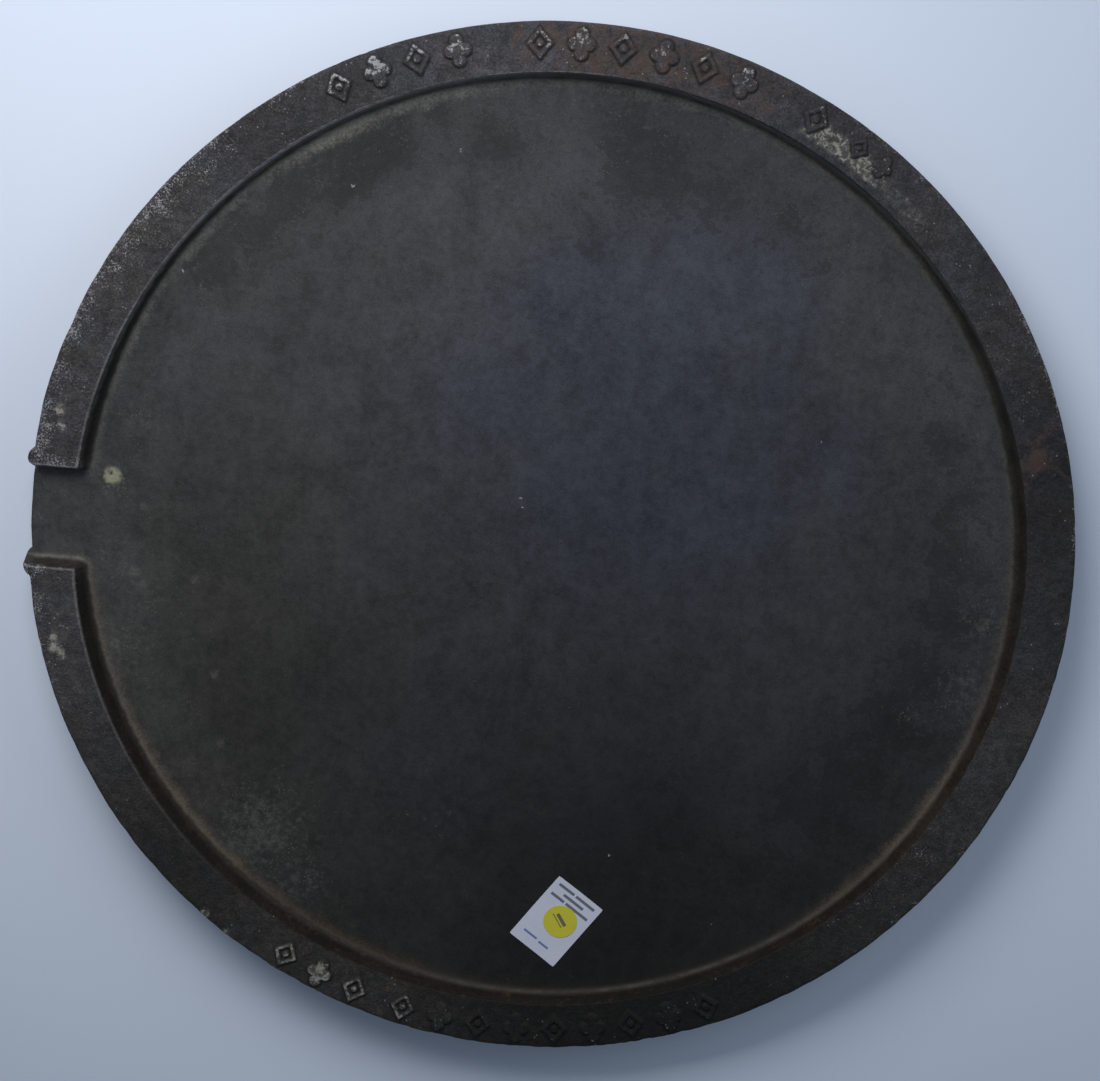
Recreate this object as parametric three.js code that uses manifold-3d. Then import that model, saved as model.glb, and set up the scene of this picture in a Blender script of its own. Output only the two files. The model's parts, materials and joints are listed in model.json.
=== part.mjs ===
// A round cast-iron manhole cover: a dished floor inside a raised rim, with one
// notch through the rim, a row of cast tread marks round it, and a skirt and
// ribs underneath. A paper lot label and a colour-coding dot are stuck on the floor.
// Millimetres, +Z up out of the top face, the origin under the middle of the
// cover at the level that it stands on, and the notch towards -X.
import * as THREE from 'three';
import { mergeVertices } from 'three/addons/utils/BufferGeometryUtils.js';
import Module from 'manifold-3d';

const wasm = await Module();
wasm.setup();

// Driving dimensions of the casting.
const COVER_RADIUS = 285.75;
const RIM_WIDTH = 26.7;
const RIM_HEIGHT = 9.5;
const RIM_EDGE = 1.2; // chamfer along the rim's two top edges
const WALL_RUN = 3.6; // how far the rim's inner wall leans over its height
const FLOOR_FILLET = 4.5;
const FLOOR_THICKNESS = 13;
const SKIRT_DEPTH = 16;
const SKIRT_OUTER_RADIUS = 257;
const SKIRT_THICKNESS = 11;
const SKIRT_DRAFT = 1.5;
const ROUND_SEGMENTS = 144;

// Levels, worked out from the depths above.
const SEAT_LEVEL = SKIRT_DEPTH;
const FLOOR_LEVEL = SKIRT_DEPTH + FLOOR_THICKNESS;
const TOP_LEVEL = FLOOR_LEVEL + RIM_HEIGHT;
const RIM_INNER_RADIUS = COVER_RADIUS - RIM_WIDTH;
const WALL_FOOT_RADIUS = RIM_INNER_RADIUS - WALL_RUN;
const SKIRT_INNER_RADIUS = SKIRT_OUTER_RADIUS - SKIRT_THICKNESS;

// The notch through the rim and the lug at each of its outer corners. A lug's proud is
// how far it stands out of the cover's edge.
const NOTCH_FLOOR_WIDTH = 50;
const NOTCH_TOP_WIDTH = 55.8;
const NOTCH_FILLET = 3;
const LUGS = [
  { y: 32.2, radius: 4.6, proud: 3 },
  { y: -27.6, radius: 6.6, proud: 3.5 },
];
const LUG_TAPER = 1; // how much narrower its top is, in radius
const LUG_BELOW_TOP = 1.5;

// The ribs and the hub that they meet at.
const RIB_COUNT = 6;
const RIB_ROOT_WIDTH = 12;
const RIB_TIP_WIDTH = 9;
const HUB_RADIUS = 30;

// The tread marks: runs of equally spaced marks round the middle of the rim.
const MARK_HEIGHT = 1.6;
const MARK_RING_RADIUS = 274;
const MARK_LENGTH = 17.2; // along a radius
const MARK_WIDTH = 14.6; // along the rim
const MARK_STROKE = 3.2;
const PELLET_RADIUS = 2;
const SMALL_MARK_SCALE = 0.72;
const MARK_PITCH = 4.56; // degrees
const MARK_RUNS = [
  { first: 117.6, count: 4, scale: 1 },
  { first: 94.9, count: 6, scale: 1 },
  { first: 63.3, count: 1, scale: 1 },
  { first: 57.6, count: 2, scale: SMALL_MARK_SCALE },
  { first: 250.7, count: 3, scale: 1 },
  { first: 293.3, count: 9, scale: 1 },
];

// The paper label and the dot on it.
const LABEL_SIZE = [31.75, 44.45];
const LABEL_THICKNESS = 0.3;
const LABEL_PLACE = [20.5, -211.8];
const LABEL_TURN = -35.2; // degrees
const DOT_RADIUS = 9.525;
const DOT_THICKNESS = 0.2;
const DOT_OFFSET = [1.8, 1.4]; // from the middle of the label, in the label's own axes
const GLUE_GAP = 0.05;

const CUT_MARGIN = 10; // how far a cutting body runs past what it cuts
const JOIN_DEPTH = 1; // how far a joined body runs into the casting

const radians = THREE.MathUtils.degToRad;

// A closed geometry as a manifold solid, with shared vertices merged and
// triangles that collapse on the axis left out.
function toSolid(geometry) {
  const bare = new THREE.BufferGeometry();
  bare.setAttribute('position', geometry.getAttribute('position').clone());
  bare.setIndex(geometry.getIndex());
  const merged = mergeVertices(bare, 1e-4);
  const index = merged.getIndex().array;
  const kept = [];
  for (let i = 0; i < index.length; i += 3) {
    const [a, b, c] = [index[i], index[i + 1], index[i + 2]];
    if (a !== b && b !== c && c !== a) {
      kept.push(a, b, c);
    }
  }
  return new wasm.Manifold(new wasm.Mesh({
    numProp: 3,
    vertProperties: new Float32Array(merged.getAttribute('position').array),
    triVerts: new Uint32Array(kept),
  }));
}

function toGeometry(solid) {
  const mesh = solid.getMesh();
  const geometry = new THREE.BufferGeometry();
  geometry.setAttribute('position', new THREE.BufferAttribute(mesh.vertProperties, 3));
  geometry.setIndex(new THREE.BufferAttribute(mesh.triVerts, 1));
  geometry.computeVertexNormals();
  return geometry;
}

// An outline in the X-Y plane, extruded upwards from a level.
function prism(shape, bottom, height, curveSegments = 8) {
  const options = { depth: height, bevelEnabled: false, curveSegments };
  return new THREE.ExtrudeGeometry(shape, options).translate(0, 0, bottom);
}

// The cover's section from the axis outwards along the underside, up the edge
// and back to the axis along the floor.
function coverSection() {
  const path = new THREE.Path();
  path.moveTo(0, SEAT_LEVEL);
  path.lineTo(SKIRT_INNER_RADIUS - SKIRT_DRAFT, SEAT_LEVEL);
  path.lineTo(SKIRT_INNER_RADIUS, 0);
  path.lineTo(SKIRT_OUTER_RADIUS - SKIRT_DRAFT, 0);
  path.lineTo(SKIRT_OUTER_RADIUS, SEAT_LEVEL);
  path.lineTo(COVER_RADIUS, SEAT_LEVEL);
  path.lineTo(COVER_RADIUS, TOP_LEVEL - RIM_EDGE);
  path.lineTo(COVER_RADIUS - RIM_EDGE, TOP_LEVEL);
  path.lineTo(RIM_INNER_RADIUS + RIM_EDGE, TOP_LEVEL);
  path.lineTo(RIM_INNER_RADIUS, TOP_LEVEL - RIM_EDGE);
  const lean = WALL_RUN / (RIM_HEIGHT - RIM_EDGE);
  path.lineTo(WALL_FOOT_RADIUS + lean * FLOOR_FILLET, FLOOR_LEVEL + FLOOR_FILLET);
  path.quadraticCurveTo(WALL_FOOT_RADIUS, FLOOR_LEVEL, WALL_FOOT_RADIUS - FLOOR_FILLET, FLOOR_LEVEL);
  path.lineTo(0, FLOOR_LEVEL);
  return path.getPoints(4);
}

function coverBody() {
  const turned = new THREE.LatheGeometry(coverSection(), ROUND_SEGMENTS);
  return toSolid(turned.rotateX(Math.PI / 2));
}

// The space of the notch: a channel with leaning sides and a filleted foot,
// level with the dished floor, from inside the rim out past the cover's edge.
function notchSpace() {
  const footHalf = NOTCH_FLOOR_WIDTH / 2;
  const topHalf = NOTCH_TOP_WIDTH / 2;
  const lean = (topHalf - footHalf) / RIM_HEIGHT;
  const roof = RIM_HEIGHT + CUT_MARGIN;
  const side = (height) => footHalf + lean * height;
  const section = new THREE.Shape();
  section.moveTo(footHalf - NOTCH_FILLET, 0);
  section.quadraticCurveTo(footHalf, 0, side(NOTCH_FILLET), NOTCH_FILLET);
  section.lineTo(side(roof), roof);
  section.lineTo(-side(roof), roof);
  section.lineTo(-side(NOTCH_FILLET), NOTCH_FILLET);
  section.quadraticCurveTo(-footHalf, 0, NOTCH_FILLET - footHalf, 0);
  const inner = WALL_FOOT_RADIUS - CUT_MARGIN;
  const channel = prism(section, 0, COVER_RADIUS + CUT_MARGIN - inner, 4);
  channel.rotateX(Math.PI / 2).rotateZ(-Math.PI / 2);
  return toSolid(channel.translate(-inner, 0, FLOOR_LEVEL));
}

// A half-round lug on the cover's edge beside the notch, which cuts into its top.
function notchLug({ y, radius, proud }) {
  const height = TOP_LEVEL - LUG_BELOW_TOP - SEAT_LEVEL;
  const lug = new THREE.CylinderGeometry(radius - LUG_TAPER, radius, height, 24);
  const edge = Math.sqrt(COVER_RADIUS ** 2 - y ** 2);
  lug.rotateX(Math.PI / 2);
  return toSolid(lug.translate(radius - proud - edge, y, SEAT_LEVEL + height / 2));
}

// One rib under the floor, from the hub out into the skirt, narrower at its foot.
function rib(turn) {
  const height = SKIRT_DEPTH + JOIN_DEPTH;
  const section = new THREE.Shape();
  section.moveTo(-RIB_TIP_WIDTH / 2, 0);
  section.lineTo(RIB_TIP_WIDTH / 2, 0);
  section.lineTo(RIB_ROOT_WIDTH / 2, height);
  section.lineTo(-RIB_ROOT_WIDTH / 2, height);
  const length = SKIRT_INNER_RADIUS + SKIRT_THICKNESS / 2;
  const bar = prism(section, 0, length).rotateX(Math.PI / 2).rotateZ(Math.PI / 2);
  return toSolid(bar.rotateZ(turn));
}

function hub() {
  const height = SKIRT_DEPTH + JOIN_DEPTH;
  const disc = new THREE.CylinderGeometry(HUB_RADIUS + SKIRT_DRAFT, HUB_RADIUS, height, 48);
  return toSolid(disc.rotateX(Math.PI / 2).translate(0, 0, height / 2));
}

// A lozenge with its corners on the two axes.
function lozenge(target, width, length) {
  target.moveTo(width / 2, 0);
  target.lineTo(0, length / 2);
  target.lineTo(-width / 2, 0);
  target.lineTo(0, -length / 2);
  target.closePath();
  return target;
}

// A hollow lozenge with a round pellet in it.
function lozengeMark(scale) {
  const [width, length] = [MARK_WIDTH * scale, MARK_LENGTH * scale];
  const inset = 2 * MARK_STROKE * scale;
  const ring = lozenge(new THREE.Shape(), width, length);
  ring.holes.push(lozenge(new THREE.Path(), width - inset, length - inset * (length / width)));
  const pellet = new THREE.Shape();
  pellet.absarc(0, 0, PELLET_RADIUS * scale, 0, 2 * Math.PI);
  return [ring, pellet];
}

// Four round pellets in a cross, joined by a square.
function fourPelletMark(scale) {
  const lobe = 3.5 * scale;
  const reach = [MARK_WIDTH * scale / 2 - lobe, MARK_LENGTH * scale / 2 - lobe];
  const middle = lozenge(new THREE.Shape(), 2 * reach[0] + lobe, 2 * reach[1] + lobe);
  const lobes = [[reach[0], 0], [0, reach[1]], [-reach[0], 0], [0, -reach[1]]].map(([x, y]) => {
    const round = new THREE.Shape();
    round.absarc(x, y, lobe, 0, 2 * Math.PI);
    return round;
  });
  return [middle, ...lobes];
}

// Every tread mark, standing on the rim; the two patterns take turns.
function treadMarks() {
  const marks = [];
  for (const run of MARK_RUNS) {
    for (let i = 0; i < run.count; i += 1) {
      const outlines = i % 2 ? fourPelletMark(run.scale) : lozengeMark(run.scale);
      const angle = run.first - i * MARK_PITCH * run.scale;
      for (const outline of outlines) {
        const relief = prism(outline, TOP_LEVEL - JOIN_DEPTH, MARK_HEIGHT + JOIN_DEPTH, 5);
        relief.rotateZ(-Math.PI / 2).translate(MARK_RING_RADIUS, 0, 0);
        marks.push(toSolid(relief.rotateZ(radians(angle))));
      }
    }
  }
  return marks;
}

function coverCasting() {
  const ribs = Array.from({ length: RIB_COUNT }, (_, i) => rib((i * 2 * Math.PI) / RIB_COUNT));
  const added = [hub(), ...ribs, ...LUGS.map(notchLug), ...treadMarks()];
  const whole = added.reduce((sum, piece) => sum.add(piece), coverBody());
  const iron = new THREE.MeshStandardMaterial({ color: 0x35353a, roughness: 0.62, metalness: 0.55 });
  const mesh = new THREE.Mesh(toGeometry(whole.subtract(notchSpace())), iron);
  mesh.name = 'cover_casting';
  return mesh;
}

function lotLabel() {
  const [width, length] = LABEL_SIZE;
  const card = new THREE.BoxGeometry(width, length, LABEL_THICKNESS);
  const paper = new THREE.MeshStandardMaterial({ color: 0xc3c6dc, roughness: 0.8, metalness: 0 });
  const mesh = new THREE.Mesh(card, paper);
  mesh.name = 'lot_label';
  mesh.position.z = LABEL_THICKNESS / 2;
  return mesh;
}

function lotDot() {
  const disc = new THREE.CylinderGeometry(DOT_RADIUS, DOT_RADIUS, DOT_THICKNESS, 48);
  const yellow = new THREE.MeshStandardMaterial({ color: 0xb9b23a, roughness: 0.7, metalness: 0 });
  const mesh = new THREE.Mesh(disc, yellow);
  mesh.name = 'lot_dot';
  mesh.rotation.x = Math.PI / 2;
  mesh.position.set(...DOT_OFFSET, LABEL_THICKNESS + GLUE_GAP + DOT_THICKNESS / 2);
  return mesh;
}

const stickers = new THREE.Group();
stickers.position.set(...LABEL_PLACE, FLOOR_LEVEL + GLUE_GAP);
stickers.rotation.z = radians(LABEL_TURN);
stickers.add(lotLabel(), lotDot());

const cover = new THREE.Group();
cover.add(coverCasting(), stickers);

export default cover;
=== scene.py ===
import json
import math

import bpy
import numpy as np
from mathutils import Matrix, Vector, geometry, noise


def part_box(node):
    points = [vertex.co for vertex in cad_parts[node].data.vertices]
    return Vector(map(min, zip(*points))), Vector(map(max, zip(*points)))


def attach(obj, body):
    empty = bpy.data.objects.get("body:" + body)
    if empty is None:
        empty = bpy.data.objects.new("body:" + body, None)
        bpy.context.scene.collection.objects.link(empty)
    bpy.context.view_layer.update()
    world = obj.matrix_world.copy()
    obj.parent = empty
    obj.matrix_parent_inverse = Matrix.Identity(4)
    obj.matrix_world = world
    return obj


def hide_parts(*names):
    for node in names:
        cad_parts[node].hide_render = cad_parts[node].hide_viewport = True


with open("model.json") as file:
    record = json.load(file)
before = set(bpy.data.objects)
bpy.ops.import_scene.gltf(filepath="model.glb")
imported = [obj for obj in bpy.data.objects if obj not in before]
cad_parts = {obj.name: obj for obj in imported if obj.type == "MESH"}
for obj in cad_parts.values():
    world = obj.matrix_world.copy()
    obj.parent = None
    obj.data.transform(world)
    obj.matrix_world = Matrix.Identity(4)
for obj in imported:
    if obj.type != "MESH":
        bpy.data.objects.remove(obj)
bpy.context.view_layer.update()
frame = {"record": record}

MM = 0.001

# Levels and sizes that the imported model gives.
iron_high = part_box("cover_casting")[1] / MM
label_low, label_high = (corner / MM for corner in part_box("lot_label"))
mounts = {mount["name"]: mount for mount in frame["record"]["mounts"]}
FLOOR = mounts["floor_face"]["pos_m"][2] / MM
SEAT = mounts["seat_face"]["pos_m"][2] / MM
MARK_RISE = 1.6
RADIUS = iron_high.x
TOP = iron_high.z - MARK_RISE
RIM_RISE = TOP - FLOOR

# The rim, its inner wall and the notch.
RIM_WIDTH = 26.7
WALL_RUN = 3.6
WALL_FOOT = RADIUS - RIM_WIDTH - WALL_RUN
FOOT_FILLET = 5.0
TOP_ROUNDING = 1.2
NOTCH_FOOT = 25.0  # half the width of the notch at its floor
NOTCH_RUN = 2.9
NOTCH_ANGLE = 180.0
CORNER_ROUNDING = 4.2  # in plan, where the notch meets the inner wall
EDGE_ROUNDING = (0.9, 2.2)  # least and most, along the worn outer edge
NOTCH_WEAR = 0.8  # how far the rim's edge is worn in beside the notch
LUGS = ((32.2, 4.6, 3.4), (-27.6, 6.6, 4.0))  # each one's y, half-width and how far it stands out

# The underside.
SKIRT_OUTER = 257.0
SKIRT_INNER = 246.0
HUB_RADIUS = 30.0
RIB_HALF = 4.5
RIB_COUNT = 6
POCKET_CORNER = 5.5  # how far the rounding of a pocket's corners reaches along its outline
POCKET_POINTS = 170  # round each pocket
POCKET_BOW = 1e-4  # per millimetre, only while the flat face is divided into triangles

# The tread marks: runs of (first angle, count, scale), clockwise from the first.
MARK_PITCH = 4.56
MARK_RUNS = (
    (117.6, 4, 1.0),
    (94.9, 6, 1.0),
    (63.3, 1, 1.0),
    (57.6, 2, 0.72),
    (250.7, 3, 1.0),
    (293.3, 9, 1.0),
)
MARK_RING = 274.0
MARK_WIDTH = 14.6
MARK_LENGTH = 17.2
MARK_STROKE = 3.2
MARK_EDGE = 0.55  # half the run of a mark's sloping edge
PELLET = 2.0
LOBE = 3.5

# Spacing of the casting's surface.
FINE_COLUMN = 0.14  # degrees, across the marks
NOTCH_COLUMN = 0.17
WIDE_COLUMN = 0.7
STRAIGHT_AT = 270  # the radius that the columns beside the notch are set out at
FINE_RING = 0.6
FINE_FROM = WALL_FOOT - 9.5
FLOOR_RING = 7.0


def smooth(low, high, value):
    """0 below low, 1 above high and a smooth step between, as an array."""
    t = np.clip((value - low) / (high - low), 0, 1)
    return t * t * (3 - 2 * t)


def bump_of(distance, width):
    """1 at distance 0, falling away over the width on both sides."""
    return np.exp(-((distance / width) ** 2))


def cloud(points, size, octaves=3, shift=0.0):
    """Fractal noise between about -1 and 1 at each point, with blobs of the given size."""
    at = np.asarray(points, float) / size + shift
    return np.array([noise.fractal(Vector(p), 1.0, 2.0, octaves) for p in at])


def turned(angle, middle):
    """How many degrees an angle is anticlockwise from the middle, from -180 to 180."""
    return (np.asarray(angle) - middle + 180) % 360 - 180


def arc(angle, middle, half, soft):
    """1 within half of the middle angle, and 0 past soft degrees more."""
    return 1 - smooth(half, half + soft, np.abs(turned(angle, middle)))


def blob(x, y, centre, radius):
    """1 at the centre and 0 past the radius."""
    return 1 - smooth(0, radius, np.hypot(x - centre[0], y - centre[1]))


class Skin:
    """A mesh's points and faces, built ring by ring. Rings run anticlockwise seen from above."""

    def __init__(self):
        self.points = []
        self.faces = []

    def ring(self, points):
        """Adds a ring of points and returns their numbers."""
        first = len(self.points)
        self.points.extend(tuple(p) for p in points)
        return list(range(first, len(self.points)))

    def bridge(self, a, b):
        """Faces from ring a to ring b, which follows it over the surface from the top's middle."""
        if len(a) == len(b):
            n = len(a)
            self.faces += [(a[i], b[i], b[(i + 1) % n], a[(i + 1) % n]) for i in range(n)]
            return b
        turns = [self.turns(ring) for ring in (a, b)]
        i = j = 0
        while i < len(a) or j < len(b):
            if j == len(b) or (i < len(a) and turns[0][i + 1] < turns[1][j + 1]):
                self.faces.append((a[i % len(a)], b[j % len(b)], a[(i + 1) % len(a)]))
                i += 1
            else:
                self.faces.append((a[i % len(a)], b[j % len(b)], b[(j + 1) % len(b)]))
                j += 1
        return b

    def turns(self, ring):
        """Each point's angle in whole turns from the ring's first, with 1 more at the end."""
        x, y = np.array([self.points[k][:2] for k in ring]).T
        angle = np.degrees(np.arctan2(y, x)) % 360
        return np.append(angle, angle[0] + 360)

    def fan(self, ring, point):
        """Closes a ring with triangles to a point that follows it."""
        [tip] = self.ring([point])
        n = len(ring)
        self.faces += [(ring[i], tip, ring[(i + 1) % n]) for i in range(n)]

    def piece(self, name, material, **fields):
        """The mesh as a Blender object, smooth, with a named number at each point."""
        mesh = bpy.data.meshes.new(name)
        mesh.from_pydata([[v * MM for v in p] for p in self.points], [], self.faces)
        mesh.validate()
        mesh.shade_smooth()
        for key, values in fields.items():
            values = np.asarray(values, np.float32)
            kind = "FLOAT_VECTOR" if values.ndim == 2 else "FLOAT"
            layer = mesh.attributes.new(key, kind, "POINT")
            layer.data.foreach_set("vector" if values.ndim == 2 else "value", values.ravel())
        mesh.materials.append(material)
        made = bpy.data.objects.new(name, mesh)
        bpy.context.scene.collection.objects.link(made)
        return made


# The casting's shape.


def wall_profile():
    """(distance out from the wall's foot, height) up the inner wall, foot and top rounded."""
    lean = math.atan2(RIM_RISE, WALL_RUN)
    foot, top = (radius * math.tan(lean / 2) for radius in (FOOT_FILLET, TOP_ROUNDING))
    points = []
    for a in np.linspace(0, lean, 6):
        points.append((FOOT_FILLET * math.sin(a) - foot, FOOT_FILLET * (1 - math.cos(a))))
    for a in np.linspace(lean, 0, 5):
        out = WALL_RUN + top - TOP_ROUNDING * math.sin(a)
        points.append((out, RIM_RISE - TOP_ROUNDING * (1 - math.cos(a))))
    return np.array(points).T


PROFILE = wall_profile()


def beyond_wall(x, y):
    """How far out past the foot of the rim's wall a place is, across the notch's walls too."""
    a = np.hypot(x, y) - WALL_FOOT
    b = (np.abs(y) - NOTCH_FOOT) * (WALL_RUN / NOTCH_RUN)
    b = np.where(x < 0, b, 1e3)
    corner = CORNER_ROUNDING - np.hypot(CORNER_ROUNDING - a, CORNER_ROUNDING - b)
    near = (a < CORNER_ROUNDING) & (b < CORNER_ROUNDING)
    return np.where(near, corner, np.minimum(a, b))


def mark_places():
    """(angle, scale, whether it is the four-lobed pattern) of every tread mark."""
    for first, count, scale in MARK_RUNS:
        for i in range(count):
            yield first - i * MARK_PITCH * scale, scale, i % 2 == 1


def lozenge(across, along, width, length):
    """Signed distance to a lozenge, negative inside."""
    unit = math.hypot(2 / width, 2 / length)
    return (np.abs(across) * 2 / width + np.abs(along) * 2 / length - 1) / unit


def lozenge_mark(across, along, scale):
    """Signed distance to a hollow lozenge with a pellet in it."""
    width, length, stroke = (v * scale for v in (MARK_WIDTH, MARK_LENGTH, 2 * MARK_STROKE))
    inner = lozenge(across, along, width - stroke, length - stroke * length / width)
    ring = np.maximum(lozenge(across, along, width, length), -inner)
    return np.minimum(ring, np.hypot(across, along) - PELLET * scale)


def lobed_mark(across, along, scale):
    """Signed distance to four pellets in a cross, joined by a lozenge."""
    lobe = LOBE * scale
    reach = MARK_WIDTH * scale / 2 - lobe, MARK_LENGTH * scale / 2 - lobe
    shape = lozenge(across, along, 2 * reach[0] + lobe, 2 * reach[1] + lobe)
    for side in (-1, 1):
        shape = np.minimum(shape, np.hypot(across - side * reach[0], along) - lobe)
        shape = np.minimum(shape, np.hypot(across, along - side * reach[1]) - lobe)
    return shape


def from_marks(x, y):
    """Signed distance to the nearest tread mark, negative on a mark."""
    nearest = np.full(np.shape(x), 1e3)
    for angle, scale, lobed in mark_places():
        a = math.radians(angle)
        across = y * math.cos(a) - x * math.sin(a)
        along = x * math.cos(a) + y * math.sin(a) - MARK_RING
        near = (np.abs(across) < MARK_WIDTH) & (np.abs(along) < MARK_LENGTH)
        pattern = lobed_mark if lobed else lozenge_mark
        nearest[near] = np.minimum(nearest[near], pattern(across[near], along[near], scale))
    return nearest


def top_height(x, y):
    """Height of the tread side: floor, wall, rim and marks, with the casting's unevenness."""
    points = np.stack([x, y, np.zeros_like(x)], axis=1)
    past = beyond_wall(x, y)
    height = FLOOR + np.interp(past, *PROFILE)
    on_rim = smooth(1.0, 5.0, past)
    height += on_rim * (0.16 * cloud(points, 38) + 0.1 * cloud(points, 11, 2, 7.3) - 0.1)
    height += (1 - on_rim) * (0.12 * cloud(points, 95, 2, 3.1) - 0.05)
    worn_marks = MARK_RISE * (0.9 + 0.12 * cloud(points, 16, 2, 5.7))
    return height + worn_marks * (1 - smooth(-MARK_EDGE, MARK_EDGE, from_marks(x, y)))


def outline(angle, height):
    """The cover's radius at an angle and a height: uneven, and worn in beside the notch."""
    a = np.radians(angle)
    round_it = np.stack([np.cos(a), np.sin(a), np.zeros_like(a)], axis=1) * RADIUS
    up = np.clip((height - SEAT) / (TOP - SEAT), 0, 1)
    uneven = 0.3 * cloud(round_it, 70, 2) + 0.12 * cloud(round_it, 12, 3, 2.2)
    nicks = 0.35 * smooth(0.4, 0.8, cloud(round_it, 7, 2, 9.4))
    wear = NOTCH_WEAR * (1 - smooth(6.5, 14, np.abs(turned(angle, NOTCH_ANGLE))))
    return RADIUS - 0.55 + uneven - up**2 * (wear + nicks)


def lug_reach(x, y, below_top):
    """How far a lug stands out of the side, at a place and a depth below the top surface."""
    reach = np.zeros_like(y)
    for middle, half, out in LUGS:
        across = np.clip(1 - ((y - middle) / half) ** 2, 0, 1)
        reach = np.maximum(reach, out * np.sqrt(across) * (x < 0))
    return reach * np.sqrt(smooth(0.4, 3.2, below_top))


def column_angles():
    """The angle of each column of points: close together at the marks and the notch."""
    spans = [(first - (n - 1) * MARK_PITCH * k - 2.4, first + 2.4) for first, n, k in MARK_RUNS]
    angles, here = [], 0.0
    while here < 360:
        angles.append(here)
        if abs(here - NOTCH_ANGLE) < 9:
            here += NOTCH_COLUMN
        elif any(low < here < high for low, high in spans):
            here += FINE_COLUMN
        else:
            here += WIDE_COLUMN
    return np.array(angles) * 360 / here


def ring_angles(columns, radius):
    """The columns at a radius. Beside the notch they run along its walls, not radially."""
    off = turned(columns, NOTCH_ANGLE)
    straight = STRAIGHT_AT * np.sin(np.radians(np.clip(off, -20, 20)))
    along = np.degrees(np.arcsin(np.clip(straight / radius, -1, 1)))
    share = 1 - smooth(7.5, 12.5, np.abs(off))
    return columns + share * (along - off)


def floor_rings(skin):
    """The flat of the floor from the middle out, in coarse rings."""
    radii = np.append(np.arange(FLOOR_RING, FINE_FROM - 12, FLOOR_RING), FINE_FROM - 5)
    rings = []
    for radius in radii:
        count = min(12 * 2 ** max(0, math.ceil(math.log2(radius / 14))), 256)
        a = np.radians(np.arange(count) * 360 / count)
        x, y = radius * np.cos(a), radius * np.sin(a)
        rings.append(skin.ring(np.stack([x, y, top_height(x, y)], axis=1)))
    middle = skin.ring([(0, 0, FLOOR)])[0]
    first = rings[0]
    n = len(first)
    skin.faces += [(middle, first[i], first[(i + 1) % n]) for i in range(n)]
    for inner, outer in zip(rings, rings[1:]):
        skin.bridge(inner, outer)
    return rings[-1]


def rim_rings(skin, last, columns):
    """The fillet, the wall and the rim out to its edge, then the edge and the side."""
    least, most = EDGE_ROUNDING
    radii = [FINE_FROM, FINE_FROM + 3, *(WALL_FOOT + PROFILE[0])]
    radii += [radii[-1] + step for step in (0.8, 1.9, 3.2, 4.4)]
    band = RADIUS - most - 0.6
    radii += list(np.linspace(radii[-1] + FINE_RING, band, round((band - radii[-1]) / FINE_RING)))
    edge_x = -RADIUS * np.cos(np.radians(turned(columns, NOTCH_ANGLE)))
    edge_y = RADIUS * np.sin(np.radians(columns))
    shoulder = FLOOR + np.interp(beyond_wall(edge_x * 0.99, edge_y), *PROFILE)
    edge = outline(columns, shoulder)
    for radius in radii:
        out = radius + smooth(262, band, radius) * (edge - RADIUS)
        a = np.radians(ring_angles(columns, radius))
        x, y = out * np.cos(a), out * np.sin(a)
        last = skin.bridge(last, skin.ring(np.stack([x, y, top_height(x, y)], axis=1)))
    a = np.radians(ring_angles(columns, RADIUS))
    cos, sin = np.cos(a), np.sin(a)
    rounding = least + (most - least) * smooth(-0.5, 0.6, cloud(
        np.stack([cos, sin, 0 * a], axis=1) * RADIUS, 9, 2, 4.4))
    inside = edge - most
    top = top_height(inside * cos, inside * sin)
    for turn in np.radians((0, 25, 50, 72, 90)):
        out = edge - rounding * (1 - math.sin(turn))
        z = top - rounding * (1 - math.cos(turn))
        out = out + lug_reach(cos, out * sin, top - z)
        last = skin.bridge(last, skin.ring(np.stack([out * cos, out * sin, z], axis=1)))
    low = SEAT + least
    for share in (0.06, 0.13, 0.22, 0.45, 0.75, 1):
        z = (top - rounding) * (1 - share) + low * share
        out = outline(columns, z) + lug_reach(cos, RADIUS * sin, top - z)
        last = skin.bridge(last, skin.ring(np.stack([out * cos, out * sin, z], axis=1)))
    for turn in np.radians((45, 90)):
        inward = least * (1 - math.cos(turn))
        z = np.full_like(a, low - least * math.sin(turn))
        spot = np.stack([(out - inward) * cos, (out - inward) * sin, z], axis=1)
        last = skin.bridge(last, skin.ring(spot))
    return last


def pocket_outline():
    """The outline of the pocket between two ribs, its corners rounded, round angle 0."""
    half = math.pi / RIB_COUNT
    corner = [math.asin(RIB_HALF / r) for r in (SKIRT_INNER, HUB_RADIUS)]
    outer = np.linspace(corner[0] - half, half - corner[0], 200)
    inner = np.linspace(half - corner[1], corner[1] - half, 40)
    loop = [(SKIRT_INNER * math.cos(a), SKIRT_INNER * math.sin(a)) for a in outer]
    loop += [(HUB_RADIUS * math.cos(a), HUB_RADIUS * math.sin(a)) for a in inner]
    loop = np.array([*loop, loop[0]])
    gone = np.append(0, np.cumsum(np.linalg.norm(np.diff(loop, axis=0), axis=1)))
    at = np.arange(POCKET_POINTS) * gone[-1] / POCKET_POINTS
    even = np.stack([np.interp(at, gone, loop[:, k]) for k in (0, 1)], axis=1)
    step = gone[-1] / POCKET_POINTS
    reach = np.arange(-4, 5)
    weights = np.exp(-((reach * step / POCKET_CORNER) ** 2) / 2)
    rolled = [np.roll(even, k, axis=0) * w for k, w in zip(reach, weights)]
    return sum(rolled) / weights.sum()


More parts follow.
